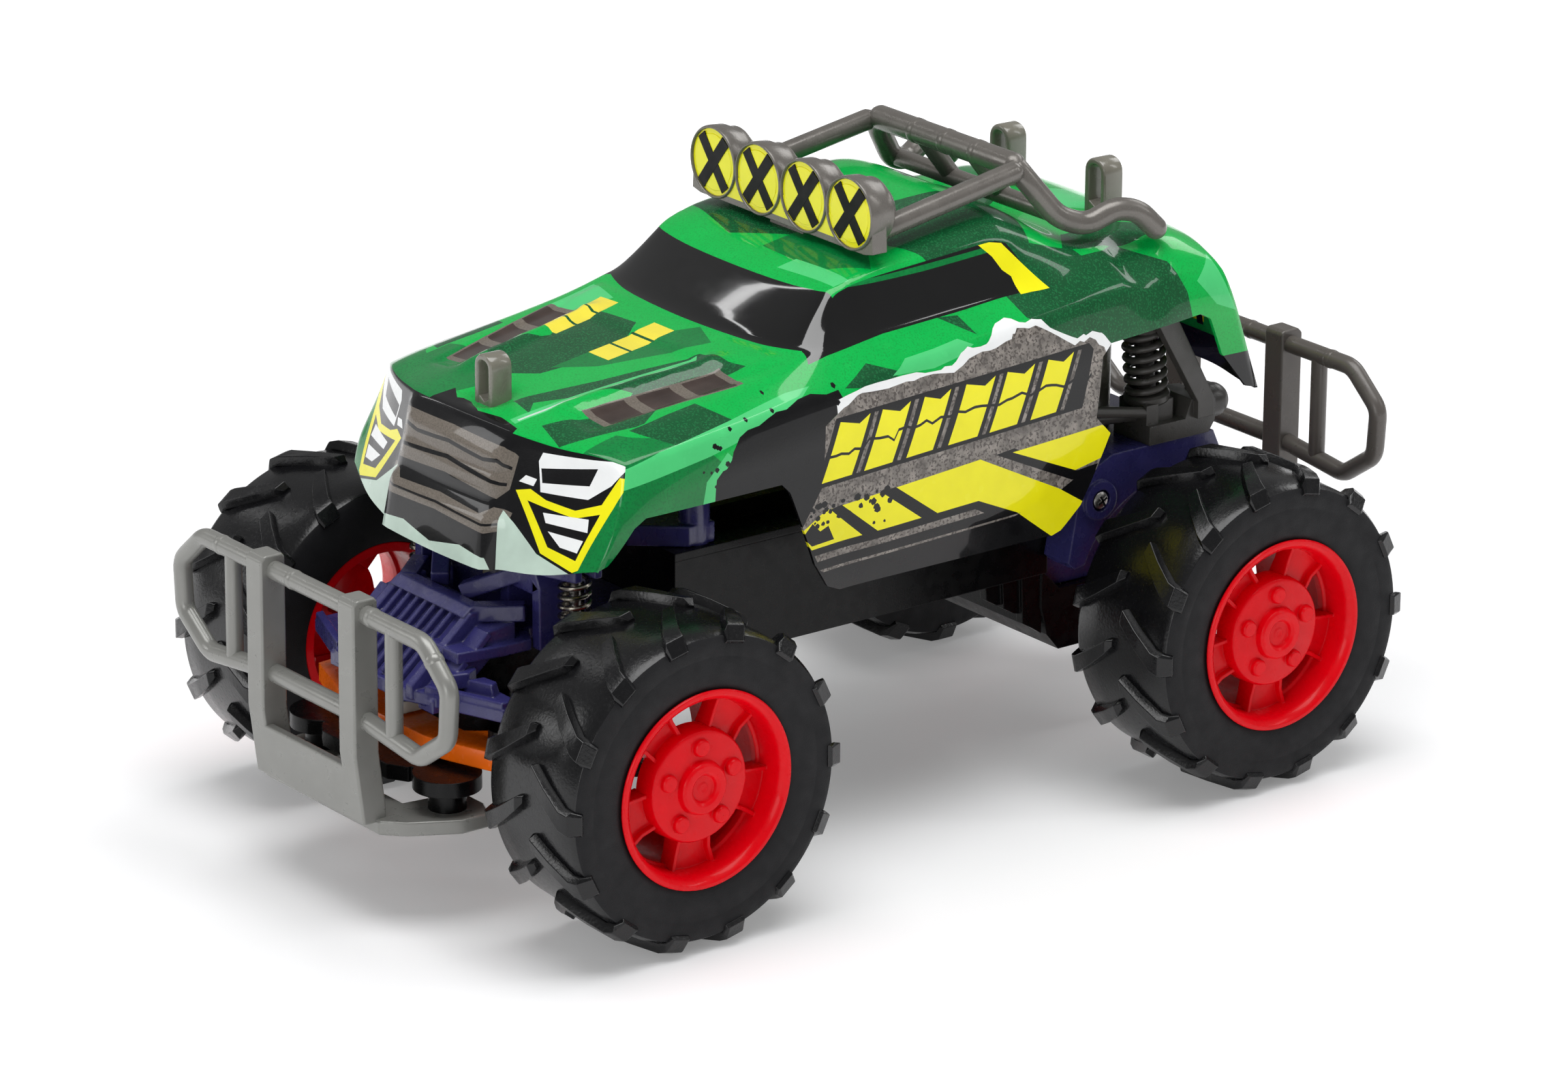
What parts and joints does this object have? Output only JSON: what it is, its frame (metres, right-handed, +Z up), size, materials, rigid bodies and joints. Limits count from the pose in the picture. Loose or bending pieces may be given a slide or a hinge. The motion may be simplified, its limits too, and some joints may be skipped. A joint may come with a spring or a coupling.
{
  "type": "rc monster truck",
  "caption": "Radio-controlled monster truck: printed body shell on posts, roof rack with light bar, bar bumpers, lugged tyres, sprung steered front wheels and geared rear axle.",
  "frame": {"origin": "centre of the bounding box's bottom, on the ground midway between the axles", "axes": "+Z up, -Y forward, +X to the truck's left"},
  "size_m": [0.1734, 0.304, 0.1674],
  "materials": {
    "tyre_rubber": "satin",
    "hub_red": "gloss",
    "steel": "satin",
    "spring_steel": "satin",
    "frame_black": "satin",
    "frame_navy": "satin",
    "trim_dark_grey": "satin",
    "post_grey": "satin",
    "tie_rod_orange": "satin",
    "gear_nylon": "satin",
    "brass_pinion": "satin",
    "motor_can": "satin",
    "bumper_light_grey": "satin",
    "bumper_dark_grey": "satin",
    "switch_knob": "satin",
    "battery_wrap": "gloss",
    "board_green": "satin",
    "shell_paint": "gloss",
    "rack_grey": "satin",
    "lens_yellow": "gloss"
  },
  "bodies": {
    "chassis": {"axle_bush_left": "frame_black", "axle_bush_right": "frame_black", "battery_cells": "battery_wrap", "battery_door": "frame_black", "body_post_front": "post_grey", "body_post_rear_left": "post_grey", "body_post_rear_right": "post_grey", "body_shell": "shell_paint", "bumper_screws": "steel", "chassis_lid": "frame_black", "chassis_tub": "frame_black", "circuit_board": "board_green", "drive_motor": "motor_can", "frame_screws": "steel", "front_bumper": "bumper_light_grey", "front_frame": "frame_navy", "front_lower_frame": "frame_black", "gearbox_left": "frame_navy", "gearbox_lower": "frame_black", "gearbox_right": "frame_navy", "kingpin_front_left": "steel", "kingpin_front_right": "steel", "lamp_lenses": "lens_yellow", "light_bar": "rack_grey", "power_switch_body": "frame_black", "rear_bumper": "bumper_dark_grey", "rear_frame_left": "frame_navy", "rear_frame_right": "frame_navy", "rear_shock_left": "trim_dark_grey", "rear_shock_right": "trim_dark_grey", "rear_suspension_trim_left": "trim_dark_grey", "rear_suspension_trim_right": "trim_dark_grey", "roof_rack": "rack_grey", "spring_front_left": "spring_steel", "spring_front_right": "spring_steel", "steering_motor": "motor_can"},
    "left_slider": {"spring_washer_left": "steel"},
    "right_slider": {"spring_washer_right": "steel"},
    "left_knuckle": {"knuckle_front_left": "frame_black"},
    "right_knuckle": {"knuckle_front_right": "frame_black"},
    "front_left_wheel": {"tyre_front_left": "tyre_rubber", "hub_front_left": "hub_red", "stub_axle_front_left": "steel"},
    "front_right_wheel": {"tyre_front_right": "tyre_rubber", "hub_front_right": "hub_red", "stub_axle_front_right": "steel"},
    "tie_rod": {"tie_rod": "tie_rod_orange"},
    "steering_horn": {"steering_horn": "gear_nylon", "steering_gear": "gear_nylon"},
    "steering_pinion": {"steering_pinion": "gear_nylon", "steering_motor_shaft": "steel"},
    "rear_axle": {"rear_axle_shaft": "steel", "final_gear": "gear_nylon", "hub_rear_left": "hub_red", "tyre_rear_left": "tyre_rubber", "hub_rear_right": "hub_red", "tyre_rear_right": "tyre_rubber"},
    "reduction_gear": {"reduction_gear": "gear_nylon"},
    "motor_pinion": {"motor_pinion": "brass_pinion"},
    "power_switch": {"power_switch_knob": "switch_knob"}
  },
  "joints": [
    {"name": "front_left_travel", "type": "slide", "parent": "chassis", "child": "left_slider", "axis": [0, 0, 1], "range_m": [0, 0.004], "stiffness_N_per_m": 700, "springref_m": -0.006, "deforming": ["spring_front_left"]},
    {"name": "left_steer", "type": "hinge", "parent": "left_slider", "child": "left_knuckle", "pos_m": [0.032, -0.092, 0.0425], "axis": [0, 0, 1], "range_deg": [-15, 15]},
    {"name": "front_left_spin", "type": "hinge", "parent": "left_knuckle", "child": "front_left_wheel", "pos_m": [0.0682, -0.092, 0.0425], "axis": [1, 0, 0], "continuous": true},
    {"name": "front_right_travel", "type": "slide", "parent": "chassis", "child": "right_slider", "axis": [0, 0, 1], "range_m": [0, 0.004], "stiffness_N_per_m": 700, "springref_m": -0.006, "deforming": ["spring_front_right"]},
    {"name": "right_steer", "type": "hinge", "parent": "right_slider", "child": "right_knuckle", "pos_m": [-0.032, -0.092, 0.0425], "axis": [0, 0, 1], "range_deg": [-15, 15]},
    {"name": "front_right_spin", "type": "hinge", "parent": "right_knuckle", "child": "front_right_wheel", "pos_m": [-0.0682, -0.092, 0.0425], "axis": [1, 0, 0], "continuous": true},
    {"name": "tie_rod_slide", "type": "slide", "parent": "chassis", "child": "tie_rod", "axis": [1, 0, 0], "range_m": [-0.0059, 0.0059]},
    {"name": "horn_turn", "type": "hinge", "parent": "chassis", "child": "steering_horn", "pos_m": [0, -0.104, 0.052], "axis": [0, 0, 1], "range_deg": [-18.6, 18.6]},
    {"name": "steering_pinion_spin", "type": "hinge", "parent": "chassis", "child": "steering_pinion", "pos_m": [0, -0.0905, 0.052], "axis": [0, 0, 1], "range_deg": [-82, 82]},
    {"name": "rear_axle_spin", "type": "hinge", "parent": "chassis", "child": "rear_axle", "pos_m": [0, 0.092, 0.0425], "axis": [1, 0, 0], "continuous": true},
    {"name": "reduction_spin", "type": "hinge", "parent": "chassis", "child": "reduction_gear", "pos_m": [0, 0.08177, 0.05427], "axis": [1, 0, 0], "continuous": true},
    {"name": "motor_spin", "type": "hinge", "parent": "chassis", "child": "motor_pinion", "pos_m": [0, 0.07094, 0.06052], "axis": [1, 0, 0], "continuous": true},
    {"name": "switch_slide", "type": "slide", "parent": "chassis", "child": "power_switch", "axis": [1, 0, 0], "range_m": [0, 0.004]}
  ],
  "couplings": [
    {"joint": "right_steer", "follows": "left_steer", "ratio": 1},
    {"joint": "tie_rod_slide", "follows": "left_steer", "m_per_rad": 0.022},
    {"joint": "horn_turn", "follows": "left_steer", "ratio": 1.2222},
    {"joint": "steering_pinion_spin", "follows": "left_steer", "ratio": -5.3778},
    {"joint": "reduction_spin", "follows": "rear_axle_spin", "ratio": -3.3333},
    {"joint": "motor_spin", "follows": "rear_axle_spin", "ratio": 13.333}
  ]
}
